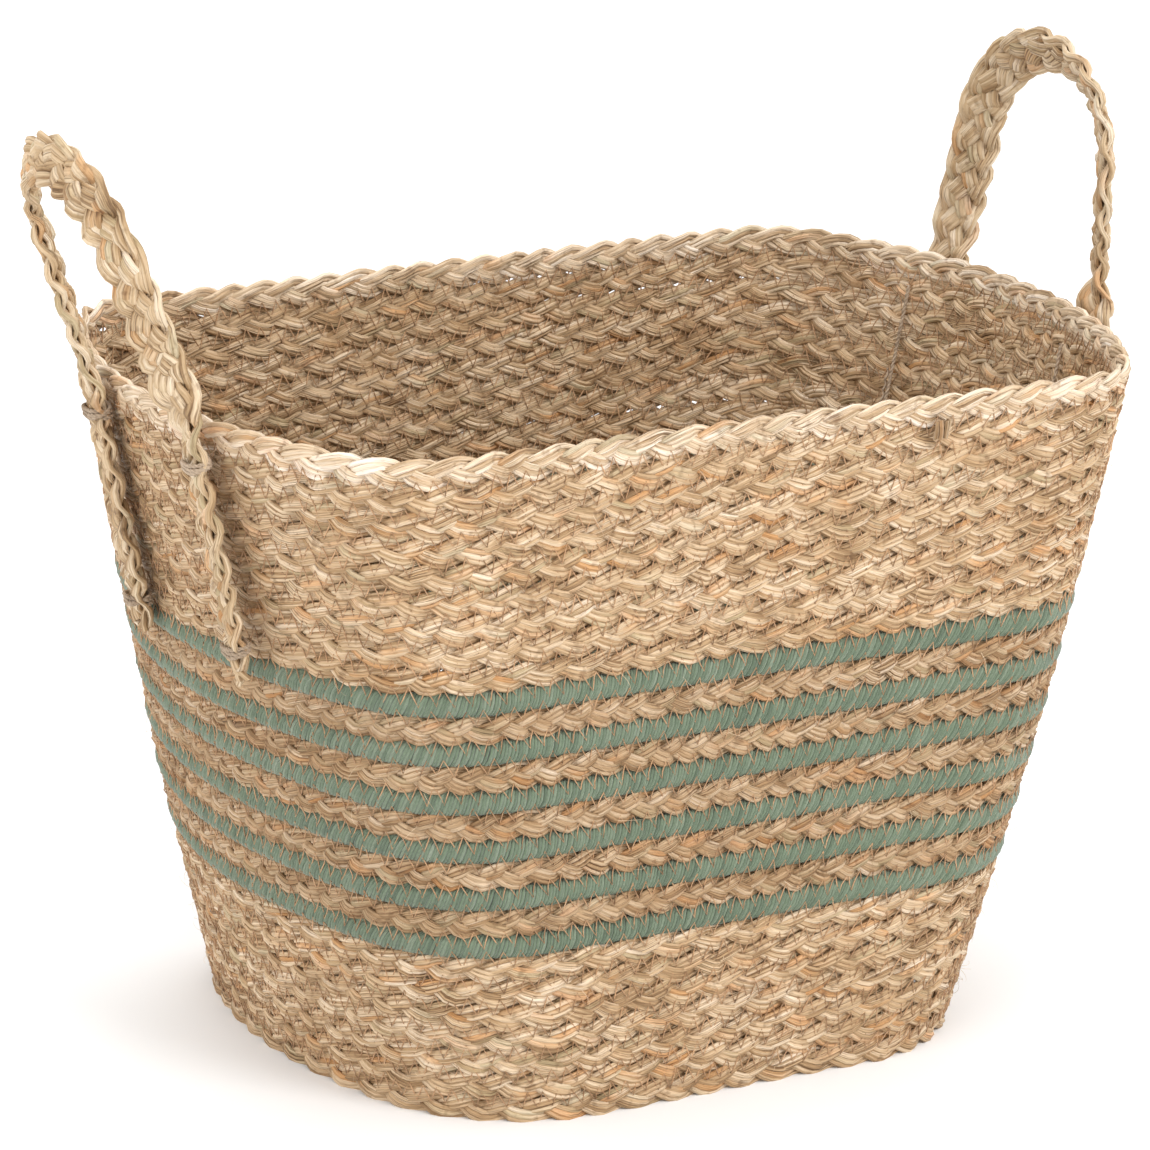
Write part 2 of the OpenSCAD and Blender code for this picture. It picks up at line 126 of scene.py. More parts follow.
class BasketHandleSizes(bpy.types.PropertyGroup):
    """The plaited handles"""
    strands: count("Strands", 5, "Strands in a handle plait")
    stroke: length("Stroke", 0.068, "Length of one full crossing of a handle plait")
    width: length("Width", 0.021, "Width of a handle plait")
    thickness: length("Thickness", 0.008, "Thickness of a handle plait")
    left_half_span: length("Left half span", 0.036, "Half the width of the left handle's arch")
    left_splay: length("Left splay", 0.005, "How much further out each foot of the left arch stands")
    left_shift: offset("Left shift", -0.009, "How far the left handle sits towards the back")
    left_skew: offset("Left skew", 0.018, "How far the top of the left handle leans towards the back")
    left_drift: offset("Left drift", -0.010, "How far the tips of the left legs drift towards the back")
    left_lean: angle("Left lean", 18, "Outward lean of the left handle")
    left_slope: angle("Left slope", 11.39, "Slope of the left legs on the wall")
    right_half_span: length("Right half span", 0.046, "Half the width of the right handle's arch")
    right_splay: length("Right splay", 0.007, "How much further out each foot of the right arch stands")
    right_shift: offset("Right shift", 0.017, "How far the right handle sits towards the back")
    right_skew: offset("Right skew", -0.013, "How far the top of the right handle leans towards the back")
    right_drift: offset("Right drift", 0.0, "How far the tips of the right legs drift towards the back")
    right_lean: angle("Right lean", 0, "Outward lean of the right handle")
    right_slope: angle("Right slope", 12.24, "Slope of the right legs on the wall")
    roll: angle("Roll", 30, "Roll of the plait above the rim")
    leg_roll: angle("Leg roll", 12, "How far every leg's face is turned towards the back")
    rise: length("Rise", 0.0929, "Height of the arch's middle line above the fold")
    gap: length("Gap", 0.006, "Length over which the plait turns, on each side of the fold")


class BasketColours(bpy.types.PropertyGroup):
    """Colours of the grass, the cord, the thread and the twine"""
    wall: colour("Wall grass", (0.68, 0.49, 0.30), "Colour of most of the wall's blades")
    rim: colour("Rim grass", (0.75, 0.575, 0.39), "Colour of most of the rim's blades")
    stripe: colour("Stripe grass", (0.54, 0.37, 0.215), "Colour of the blades between the green cords")
    handle: colour("Handle grass", (0.64, 0.475, 0.295), "Colour of the handles' blades")
    floor: colour("Floor grass", (0.58, 0.41, 0.23), "Colour of the floor's blades")
    cord: colour("Cord", (0.175, 0.225, 0.150), "Colour of the cotton cord")
    thread: colour("Thread", (0.46, 0.27, 0.145), "Colour of the sewing thread")
    twine: colour("Twine", (0.36, 0.27, 0.19), "Colour of the twine in the ties")


# ---- Tree building ----


class Recipe:
    """A node tree that is put together step by step"""

    def __init__(self, tree):
        self.tree = tree

    def step(self, kind, wires=None, result=0, **settings):
        node = self.tree.nodes.new(kind)
        for key, value in settings.items():
            setattr(node, key, value)
        for key, value in (wires or {}).items():
            if isinstance(value, bpy.types.NodeSocket):
                self.tree.links.new(value, node.inputs[key])
            else:
                node.inputs[key].default_value = value
        return node.outputs[result]

    def maths(self, operation, *values):
        return self.step("ShaderNodeMath", dict(enumerate(values)), operation=operation)

    def vectors(self, operation, *values, result="Vector"):
        return self.step("ShaderNodeVectorMath", dict(enumerate(values)), result, operation=operation)

    def scaled(self, vector, amount):
        return self.step("ShaderNodeVectorMath", {0: vector, "Scale": amount}, operation="SCALE")

    def product(self, *values):
        return functools.reduce(lambda one, other: self.maths("MULTIPLY", one, other), values)

    def total(self, *vectors):
        return functools.reduce(lambda one, other: self.vectors("ADD", one, other), vectors)

    def cloud(self, vector, scale, detail=2.0, roughness=0.5):
        return self.step("ShaderNodeTexNoise", {
            "Vector": vector, "Scale": scale, "Detail": detail, "Roughness": roughness})


class Weave(Recipe):
    """A geometry tree with named sizes"""

    def __init__(self, name, **sizes):
        super().__init__(bpy.data.node_groups.new(name, "GeometryNodeTree"))
        face = self.tree.interface
        kinds = {
            int: "NodeSocketInt", float: "NodeSocketFloat", bpy.types.Material: "NodeSocketMaterial",
            bpy.types.Collection: "NodeSocketCollection"}
        face.new_socket("Geometry", in_out="INPUT", socket_type="NodeSocketGeometry")
        face.new_socket("Geometry", in_out="OUTPUT", socket_type="NodeSocketGeometry")
        self.identifiers = {}
        for label, kind in sizes.items():
            words = label.replace("_", " ")
            socket = face.new_socket(words, in_out="INPUT", socket_type=kinds[kind])
            self.identifiers[label] = socket.identifier
        self.inputs = self.tree.nodes.new("NodeGroupInput")

    def given(self, label):
        return self.inputs.outputs[label.replace("_", " ")]

    def stored(self, name, kind="FLOAT"):
        return self.step("GeometryNodeInputNamedAttribute", {"Name": name}, data_type=kind)

    def store(self, geometry, name, value, kind="FLOAT", domain="POINT"):
        return self.step("GeometryNodeStoreNamedAttribute", {
            "Geometry": geometry, "Name": name, "Value": value}, data_type=kind, domain=domain)

    def place(self):
        return self.step("GeometryNodeInputPosition")

    def line(self):
        """The guide as a curve with the given number of points"""
        curve = self.step("GeometryNodeMeshToCurve", {"Mesh": self.inputs.outputs["Geometry"]})
        return self.step("GeometryNodeResampleCurve", {
            "Curve": curve, "Count": self.given("Points")}, mode="COUNT")

    def copies(self, line, name, number):
        """The line as many times over as the size called number says, each copy with its own count"""
        node = self.tree.nodes.new("GeometryNodeDuplicateElements")
        node.domain = "SPLINE"
        self.tree.links.new(line, node.inputs["Geometry"])
        self.tree.links.new(self.given(number), node.inputs["Amount"])
        return self.store(node.outputs[0], name, node.outputs[1], domain="CURVE")

    def ripple(self, vector, scale):
        """Smooth noise, mostly between -1 and 1"""
        return self.maths("MULTIPLY_ADD", self.cloud(vector, scale, 1.0), 4.0, -2.0)

    def finish(self, geometry, material):
        smooth = self.step("GeometryNodeSetShadeSmooth", {"Geometry": geometry})
        real = self.step("GeometryNodeRealizeInstances", {"Geometry": smooth})
        done = self.step("GeometryNodeSetMaterial", {"Geometry": real, "Material": material})
        end = self.tree.nodes.new("NodeGroupOutput")
        self.tree.links.new(done, end.inputs[0])


def plait_weave():
    """Strands of blades that cross along a guide line

    Crossings is 1 for a twist and strands - 1 for a plait, and its sign sets which way it goes.
    """
    w = Weave(
        "Plait", Strands=int, Blades=int, Turns=float, Points=int, Crossings=float, Snap=float, Sway=float,
        Depth=float, Spread=float, Crown=float, Blade_Width=float, Blade_Thickness=float, Sides=int,
        Wander=float, Fray=float, Seed=float, Material=bpy.types.Material)
    line = w.line()
    share = w.maths("DIVIDE", w.step("GeometryNodeInputIndex"), w.given("Points"))
    slip = w.product(w.ripple(w.place(), 38.0), 0.32)
    turn = w.maths("MULTIPLY_ADD", w.product(share, w.given("Turns")), math.tau, slip)
    line = w.store(line, "turn", turn)
    line = w.store(line, "share", share)
    line = w.copies(line, "strand", "Strands")
    phase = w.maths("DIVIDE", w.stored("strand"), w.given("Strands"))
    theta = w.maths("MULTIPLY_ADD", phase, math.tau, w.stored("turn"))
    lift = w.product(w.maths("SINE", w.product(theta, w.given("Crossings"))), w.given("Snap"))
    lift = w.maths("MAXIMUM", w.maths("MINIMUM", lift, 1.0), -1.0)
    line = w.store(line, "lift", lift)
    side = w.stored("side", "FLOAT_VECTOR")
    face = w.stored("face", "FLOAT_VECTOR")
    girth = w.stored("girth")
    sway = w.product(w.maths("COSINE", theta), w.given("Sway"), girth)
    depth = w.product(w.stored("lift"), w.given("Depth"))
    line = w.step("GeometryNodeSetPosition", {
        "Geometry": line, "Offset": w.total(w.scaled(side, sway), w.scaled(face, depth))})
    line = w.copies(line, "blade", "Blades")
    middle = w.product(w.maths("SUBTRACT", w.given("Blades"), 1.0), 0.5)
    off = w.maths("SUBTRACT", w.stored("blade"), middle)
    mark = w.maths("MULTIPLY_ADD", w.stored("strand"), 7.31, w.product(w.stored("blade"), 2.77))
    mark = w.maths("ADD", mark, w.given("Seed"))
    line = w.store(line, "mark", mark, domain="CURVE")
    mark = w.stored("mark")
    here = w.place()

    def drift(push, scale):
        """Noise along a blade, its own for each blade and each push"""
        shift = w.step("ShaderNodeCombineXYZ", {0: mark, 1: push, 2: w.product(mark, 0.61)})
        return w.ripple(w.vectors("ADD", w.scaled(here, scale), shift), 1.0)

    across = w.vectors("NORMALIZE", w.vectors("CROSS_PRODUCT", face, w.step("GeometryNodeInputTangent")))
    leaf = w.product(girth, w.maths("MULTIPLY_ADD", w.stored("lift"), 0.16, 1.0))
    spread = w.product(off, w.given("Spread"), leaf)
    spread = w.maths("MULTIPLY_ADD", drift(3.0, 90.0), w.given("Wander"), spread)
    inner = w.maths("SUBTRACT", 1.0, w.maths("ABSOLUTE", off))
    crown = w.product(inner, w.given("Crown"), w.stored("lift"))
    crown = w.maths("MULTIPLY_ADD", drift(9.0, 120.0), w.product(w.given("Wander"), 0.8), crown)
    line = w.step("GeometryNodeSetPosition", {
        "Geometry": line, "Offset": w.total(w.scaled(across, spread), w.scaled(face, crown))})
    tone = w.maths("MULTIPLY_ADD", drift(21.0, 16.0), 0.24, 0.48)
    own = w.maths("SUBTRACT", w.maths("FRACT", w.product(mark, 3.77)), 0.5)
    tone = w.maths("MULTIPLY_ADD", own, 0.35, tone)
    line = w.store(line, "tone", tone)
    line = w.store(line, "warmth", w.maths("MULTIPLY_ADD", drift(47.0, 22.0), 0.5, 0.5))
    end = w.maths("MINIMUM", w.stored("share"), w.maths("SUBTRACT", 1.0, w.stored("share")))
    cut = w.product(w.maths("FRACT", w.product(mark, 5.13)), w.given("Fray"))
    short = w.step("FunctionNodeCompare", {0: end, 1: cut}, operation="LESS_THAN", data_type="FLOAT")
    line = w.step("GeometryNodeDeleteGeometry", {"Geometry": line, "Selection": short}, domain="POINT")
    line = w.step("GeometryNodeSetCurveNormal", {"Curve": line, "Normal": face}, mode="FREE")
    ring = w.step("GeometryNodeCurvePrimitiveCircle", {"Resolution": w.given("Sides"), "Radius": 1.0})
    ring = w.store(ring, "round", w.place(), kind="FLOAT_VECTOR")
    size = w.step("ShaderNodeCombineXYZ", {
        0: w.given("Blade_Thickness"), 1: w.given("Blade_Width"), 2: 1.0})
    ring = w.step("GeometryNodeTransform", {"Geometry": ring, "Scale": size})
    girth_noise = w.maths("MULTIPLY_ADD", drift(33.0, 70.0), 0.16, 1.0)
    body = w.step("GeometryNodeCurveToMesh", {
        "Curve": line, "Profile Curve": ring, "Scale": girth_noise, "Fill Caps": True})
    w.finish(body, w.given("Material"))
    return w


def stitch_weave():
    """A zigzag thread laid on the plaits on both sides of each seam"""
    w = Weave(
        "Stitches", Points=int, Reach=float, Thread=float, Outward=float, Least=float, Seed=float,
        Plaits=bpy.types.Collection, Material=bpy.types.Material)
    clear, look = 0.012, 0.016
    line = w.line()
    index = w.step("GeometryNodeInputIndex")
    swing = w.maths("DIVIDE", w.maths("PINGPONG", index, 3.0), 3.0)
    place = w.vectors("ADD", w.place(), w.step("ShaderNodeCombineXYZ", {0: w.given("Seed")}))
    swing = w.maths("MULTIPLY_ADD", swing, 2.0, w.maths("MULTIPLY_ADD", w.ripple(place, 160.0), 0.22, -1.0))
    side = w.stored("side", "FLOAT_VECTOR")
    face = w.scaled(w.stored("face", "FLOAT_VECTOR"), w.given("Outward"))
    start = w.vectors("ADD", w.place(), w.scaled(side, w.product(swing, w.given("Reach"))))
    wall = w.step("GeometryNodeCollectionInfo", {"Collection": w.given("Plaits")})
    wall = w.step("GeometryNodeRealizeInstances", {"Geometry": wall})
    far = w.vectors("ADD", start, w.scaled(face, clear))
    ray = w.step("GeometryNodeRaycast", {
        "Target Geometry": wall, "Source Position": far, "Ray Direction": w.scaled(face, -1.0),
        "Ray Length": look}, "Hit Distance")
    hit = w.maths("MAXIMUM", w.maths("SUBTRACT", clear, ray), w.given("Least"))
    ride = w.maths("ADD", hit, w.product(w.given("Thread"), 0.5))
    line = w.step("GeometryNodeSetPosition", {
        "Geometry": line, "Position": w.vectors("ADD", start, w.scaled(face, ride))})
    ring = w.step("GeometryNodeCurvePrimitiveCircle", {"Resolution": 3, "Radius": w.given("Thread")})
    body = w.step("GeometryNodeCurveToMesh", {"Curve": line, "Profile Curve": ring})
    w.finish(body, w.given("Material"))
    return w


def fibre_weave():
    """Loose fibres that stand up here and there from the plaits"""
    w = Weave(
        "Loose fibres", Density=float, Length=float, Thread=float, Seed=int, Material=bpy.types.Material)
    scatter = w.tree.nodes.new("GeometryNodeDistributePointsOnFaces")
    w.tree.links.new(w.inputs.outputs["Geometry"], scatter.inputs["Mesh"])
    w.tree.links.new(w.given("Density"), scatter.inputs["Density"])
    w.tree.links.new(w.given("Seed"), scatter.inputs["Seed"])
    hair = w.step("GeometryNodeCurvePrimitiveBezierSegment", {
        "Resolution": 5, "Start": (0.0, 0.0, -0.1), "Start Handle": (0.1, 0.0, 0.25),
        "End Handle": (0.55, 0.1, 0.42), "End": (1.0, 0.0, 0.22)})
    ring = w.step("GeometryNodeCurvePrimitiveCircle", {"Resolution": 3, "Radius": w.given("Thread")})
    taper = w.maths("MULTIPLY_ADD", w.step("GeometryNodeSplineParameter"), -0.7, 1.0)
    hair = w.step("GeometryNodeCurveToMesh", {"Curve": hair, "Profile Curve": ring, "Scale": taper})
    hair = w.store(w.store(hair, "tone", 0.62), "warmth", 0.5)
    low, high = (-0.35, -0.35, 0.0), (0.35, 0.35, math.tau)
    seed = w.given("Seed")
    spin = w.step("FunctionNodeRandomValue", {0: low, 1: high, 8: seed}, data_type="FLOAT_VECTOR")
    turned = w.step("FunctionNodeRotateRotation", {
        0: scatter.outputs["Rotation"], 1: spin}, rotation_space="LOCAL")
    scale = w.step("FunctionNodeRandomValue", {2: 0.35, 3: 1.0, 8: seed}, 1, data_type="FLOAT")
    scale = w.product(scale, w.given("Length"))
    made = w.step("GeometryNodeInstanceOnPoints", {
        "Points": scatter.outputs["Points"], "Instance": hair, "Rotation": turned, "Scale": scale})
    w.finish(made, w.given("Material"))
    return w


def made(name, guide, weave, **values):
    """The plain mesh that a weave makes from a guide; the guide is used up"""
    modifier = guide.modifiers.new("Weave", "NODES")
    modifier.node_group = weave.tree
    for label, value in values.items():
        modifier[weave.identifiers[label]] = value
    guide.update_tag()
    graph = bpy.context.evaluated_depsgraph_get()
    mesh = bpy.data.meshes.new_from_object(
        guide.evaluated_get(graph), preserve_all_data_layers=True, depsgraph=graph)
    guide.modifiers.remove(modifier)
    bpy.data.objects.remove(guide)
    mesh.name = name
    piece = bpy.data.objects.new(name, mesh)
    bpy.context.scene.collection.objects.link(piece)
    if len(mesh.polygons) == 0:
        raise RuntimeError(name + " came out empty")
    return piece


def guide_line(points, sides, faces, girths=None, closed=True, loops=1):
    """Lines of points with their two cross directions, one after the other when there are several loops"""
    points = np.asarray(points, float).reshape(loops, -1, 3)
    each = points.shape[1]
    edges = []
    for loop in range(loops):
        first = loop * each
        edges += [(first + i, first + i + 1) for i in range(each - 1)]
        if closed:
            edges.append((first + each - 1, first))
    mesh = bpy.data.meshes.new("guide")
    mesh.from_pydata(points.reshape(-1, 3).tolist(), edges, [])
    for name, rows in (("side", sides), ("face", faces)):
        layer = mesh.attributes.new(name, "FLOAT_VECTOR", "POINT")
        layer.data.foreach_set("vector", np.asarray(rows, float).ravel())
    layer = mesh.attributes.new("girth", "FLOAT", "POINT")
    plain = np.ones(loops * each)
    layer.data.foreach_set("value", plain if girths is None else np.asarray(girths, float))
    piece = bpy.data.objects.new("guide", mesh)
    bpy.context.scene.collection.objects.link(piece)
    return piece


def span(points, closed=True):
    """Length of a line of points"""
    steps = np.diff(np.vstack([points, points[:1]]) if closed else points, axis=0)
    return float(np.linalg.norm(steps, axis=1).sum())


# ---- Materials ----


class Finish(Recipe):
    """A material's node tree"""

    def __init__(self, name, specular=0.3, sheen=0.0):
        self.material = bpy.data.materials.new(name)
        self.material.use_nodes = True
        super().__init__(self.material.node_tree)
        self.shader = self.tree.nodes["Principled BSDF"]
        self.shader.inputs["Specular IOR Level"].default_value = specular
        self.shader.inputs["Sheen Weight"].default_value = sheen

    def attribute(self, name, result="Fac"):
        return self.step("ShaderNodeAttribute", result=result, attribute_name=name)

    def object_place(self):
        return self.step("ShaderNodeTexCoord", result="Object")

    def ramp(self, value, stops):
        node = self.tree.nodes.new("ShaderNodeValToRGB")
        self.tree.links.new(value, node.inputs[0])
        band = node.color_ramp
        while len(band.elements) < len(stops):
            band.elements.new(0.5)
        for element, (place, shade) in zip(band.elements, stops):
            element.position = place
            element.color = (*shade, 1.0)
        return node.outputs[0]

    def blend(self, kind, amount, first, second):
        node = self.tree.nodes.new("ShaderNodeMix")
        node.data_type = "RGBA"
        node.blend_type = kind
        for key, value in ((0, amount), (6, first), (7, second)):
            if isinstance(value, bpy.types.NodeSocket):
                self.tree.links.new(value, node.inputs[key])
            else:
                node.inputs[key].default_value = value if key == 0 else (*value, 1.0)
        return node.outputs[2]

    def done(self, base, rough, height, distance):
        bump = self.step("ShaderNodeBump", {"Height": height, "Strength": 1.0, "Distance": distance})
        self.tree.links.new(base, self.shader.inputs["Base Color"])
        self.tree.links.new(rough, self.shader.inputs["Roughness"])
        self.tree.links.new(bump, self.shader.inputs["Normal"])
        return self.material


def tinted(shade, red, green, blue):
    return tuple(min(1.0, max(0.0, part * by)) for part, by in zip(shade, (red, green, blue)))


def grass_finish(name, shade, pale=1.0):
    """Dried grass: each blade its own tone, fine streaks along it, warm and greenish patches"""
    f = Finish(name, specular=0.35, sheen=0.0)
    round_ = f.attribute("round", "Vector")
    place = f.object_place()

    def streaks(across, along, detail):
        """Noise that is finer across a blade than along it"""
        vector = f.total(f.vectors("MULTIPLY", round_, (across, across, 0.0)), f.scaled(place, along))
        return f.cloud(vector, 1.0, detail, 0.6)

    fine, coarse = streaks(2.6, 70.0, 3.0), streaks(1.1, 45.0, 1.0)
    blotch = f.cloud(place, 210.0)
    tone = f.maths("MULTIPLY_ADD", f.maths("SUBTRACT", coarse, 0.5), 0.95, f.attribute("tone"))
    base = f.ramp(tone, [
        (0.02, tinted(shade, 0.34, 0.27, 0.20)), (0.26, tinted(shade, 0.72, 0.64, 0.54)),
        (0.50, shade), (0.72, tinted(shade, 1.18 * pale, 1.28 * pale, 1.45 * pale)),
        (0.95, tinted(shade, 1.30 * pale, 1.48 * pale, 1.85 * pale))])
    warm = f.ramp(f.attribute("warmth"), [(0.70, (0.0, 0.0, 0.0)), (0.92, (1.0, 1.0, 1.0))])
    green = f.ramp(f.attribute("warmth"), [(0.08, (1.0, 1.0, 1.0)), (0.26, (0.0, 0.0, 0.0))])
    base = f.blend("MIX", f.product(warm, 0.60), base, tinted(shade, 1.00, 0.66, 0.36))
    base = f.blend("MIX", f.product(green, 0.50), base, tinted(shade, 0.74, 0.86, 0.82))
    streak = f.ramp(fine, [
        (0.30, (0.24, 0.17, 0.12)), (0.42, (0.78, 0.73, 0.68)), (0.52, (1.0, 1.0, 1.0)),
        (0.72, (1.12, 1.14, 1.18))])
    base = f.blend("MULTIPLY", 0.9, base, streak)
    speck = f.ramp(blotch, [(0.28, (0.45, 0.36, 0.28)), (0.40, (1.0, 1.0, 1.0))])
    base = f.blend("MULTIPLY", 0.6, base, speck)
    rough = f.maths("MULTIPLY_ADD", fine, 0.30, 0.45)
    height = f.maths("MULTIPLY_ADD", coarse, 0.6, fine)
    return f.done(base, rough, height, 0.0009)


def yarn_finish(name, shade):
    """Soft cotton yarn, a little mottled"""
    f = Finish(name, specular=0.15, sheen=0.35)
    f.shader.inputs["Sheen Roughness"].default_value = 0.5
    place = f.object_place()
    round_ = f.attribute("round", "Vector")
    along = f.total(f.vectors("MULTIPLY", round_, (3.0, 3.0, 0.0)), f.scaled(place, 800.0))
    fuzz = f.cloud(along, 1.0, 3.0, 0.7)
    wide = f.cloud(place, 60.0)
    tone = f.maths("MULTIPLY_ADD", f.maths("SUBTRACT", wide, 0.5), 0.5, f.attribute("tone"))
    base = f.ramp(tone, [
        (0.15, tinted(shade, 0.66, 0.68, 0.68)), (0.5, shade), (0.9, tinted(shade, 1.5, 1.35, 1.5))])
    hairs = f.ramp(fuzz, [(0.3, (0.62, 0.66, 0.64)), (0.6, (1.08, 1.08, 1.08))])
    base = f.blend("MULTIPLY", 0.8, base, hairs)
    return f.done(base, f.maths("MULTIPLY_ADD", fuzz, 0.15, 0.8), fuzz, 0.0003)


def thread_finish(name, shade):
    """Twisted thread or twine"""
    f = Finish(name, specular=0.25, sheen=0.1)
    place = f.object_place()
    twist = f.cloud(place, 900.0, roughness=0.6)
    wide = f.cloud(place, 70.0, 1.0)
    base = f.ramp(f.maths("MULTIPLY_ADD", wide, 0.5, f.product(twist, 0.5)), [
        (0.30, tinted(shade, 0.6, 0.55, 0.5)), (0.50, shade), (0.72, tinted(shade, 1.5, 1.55, 1.6))])
    return f.done(base, f.maths("MULTIPLY_ADD", twist, 0.2, 0.65), twist, 0.0002)


def finish_for(key):
    """The material of one kind of strand, made once"""
    name = "Basket " + key
    shade = tuple(getattr(bpy.context.scene.basket_colours, key))
    known = bpy.data.materials.get(name)
    if known:
        return known
    if key == "cord":
        return yarn_finish(name, shade)
    if key in ("thread", "twine"):
        return thread_finish(name, shade)
    return grass_finish(name, shade, 1.03 if key == "rim" else 1.0)


# ---- The wall's oval ----


def oval(half_length, half_width, corner, turn, steps=14):
    """Rows of x, y and outward direction, from the front's left corner round to it again"""
    reach = (half_width - corner) / math.sin(turn)
    run = half_length - corner - reach * (1 - math.cos(turn))
    rows = []

    def arc(x, y, radius, start, stop):
        for angle_ in np.linspace(start, stop, steps, endpoint=False):
            c, s = math.cos(angle_), math.sin(angle_)
            rows.append((x + radius * c, y + radius * s, c, s))

    def straight(start, stop, y, out):
        for x in np.linspace(start, stop, 2 * steps, endpoint=False):
            rows.append((x, y, 0.0, out))

    right, top, end = math.pi / 2, half_width - corner, half_length - corner - reach
    straight(-run, run, -half_width, -1.0)
    arc(run, -top, corner, -right, -turn)
    arc(end, 0.0, reach + corner, -turn, turn)
    arc(run, top, corner, turn, right)
    straight(run, -run, half_width, 1.0)
    arc(-run, top, corner, right, math.pi - turn)
    arc(-end, 0.0, reach + corner, math.pi - turn, math.pi + turn)
    arc(-run, -top, corner, math.pi + turn, 3 * right)
    return np.array(rows)


@functools.cache
def rounds():
    """Name, lowest height, highest height and half sizes of each round, from the ground up"""
    found = []
    for node in frame["nodes"]:
        if "_course" in node:
            low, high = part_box(node)
            found.append((node, low.z, high.z, (high.x - low.x) / 2, (high.y - low.y) / 2))
    return sorted(found, key=lambda row: row[1])


def wall_oval(z, inset):
    """The oval at a height, moved in from the outer face"""
    sizes = bpy.context.scene.basket_wall
    table = rounds()
    middles = [(row[1] + row[2]) / 2 for row in table]
    share = min(1.0, max(0.0, z / table[-1][2]))
    half_length = np.interp(z, middles, [row[3] for row in table]) - inset
    half_width = np.interp(z, middles, [row[4] for row in table]) - inset
    corner = sizes.base_corner + (sizes.rim_corner - sizes.base_corner) * share - inset
    turn = sizes.base_end_turn + (sizes.rim_end_turn - sizes.base_end_turn) * share
    return oval(half_length, half_width, corner, turn)


def uneven(points, faces, sides):
    """Points wandering a little from their oval, all rounds alike where they meet"""
    amount = bpy.context.scene.basket_wall.unevenness
    moved = []
    for point, face, side in zip(points, faces, sides):
        place = Vector(point) * 14.0
        out = noise.noise(place) * amount
        up = noise.noise(place + Vector((31.0, 7.0, 3.0))) * amount * 0.8
        moved.append(np.array(point) + np.array(face) * out + np.array(side) * up)
    return np.array(moved)


def wall_line(z, rise, inset):
    """Points and cross directions of a line round the wall"""
    middle, above, below = (wall_oval(height, inset) for height in (z, z + rise, z - rise))
    points = np.c_[middle[:, :2], np.full(len(middle), z)]
    sides = np.c_[above[:, :2] - below[:, :2], np.full(len(middle), 2 * rise)]
    sides /= np.linalg.norm(sides, axis=1)[:, None]
    ahead = np.roll(points, -1, axis=0) - np.roll(points, 1, axis=0)
    faces = np.cross(ahead, sides)
    faces /= np.linalg.norm(faces, axis=1)[:, None]
    return uneven(points, faces, sides), sides, faces


def settle(piece, body, slot, *nodes):
    """Rides the piece on its body and lets it stand for CAD nodes"""
    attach(piece, body)
    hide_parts(*nodes)


# ---- Operators ----


WEAVES = {}
PLAITS = []


def new_plait(name, guide, key, strands, turns, points, half_width, depth, seed, **extra):
    """A plait of grass on a guide line"""
    share, inset = (0.225, 1.72) if strands == 3 else (0.18, 2.0)
    blade = half_width * share
    values = dict(
        Strands=strands, Blades=bpy.context.scene.basket_wall.blades, Turns=float(turns), Points=points,
        Crossings=-(strands - 1.0), Snap=1.25, Sway=half_width - inset * blade, Depth=depth,
        Spread=1.28 * blade, Crown=0.30 * blade, Blade_Width=blade, Blade_Thickness=0.0012, Sides=5,
        Wander=0.00022, Fray=-1.0, Seed=float(seed), Material=finish_for(key))
    values.update(extra)
    return made(name, guide, WEAVES["plait"], **values)


def new_twist(name, guide, key, strands, turns, points, **extra):
    """Single yarns laid round each other on a guide line"""
    values = dict(
        Strands=strands, Blades=1, Turns=float(turns), Points=points, Crossings=1.0, Snap=1.0, Spread=0.0,
        Crown=0.0, Sides=5, Fray=-1.0, Material=finish_for(key))
    values.update(extra)
    return made(name, guide, WEAVES["plait"], **values)


def new_twine(name, guide, turns, points, wander, seed):
    """Two-ply twine on a guide line"""
    radius = bpy.context.scene.basket_sewing.tie_twine
    lay, ply = radius * 0.42, radius * 0.62
    return new_twist(
        name, guide, "twine", 2, turns, points, Sway=lay, Depth=lay, Blade_Width=ply, Blade_Thickness=ply,
        Wander=wander, Seed=float(seed))


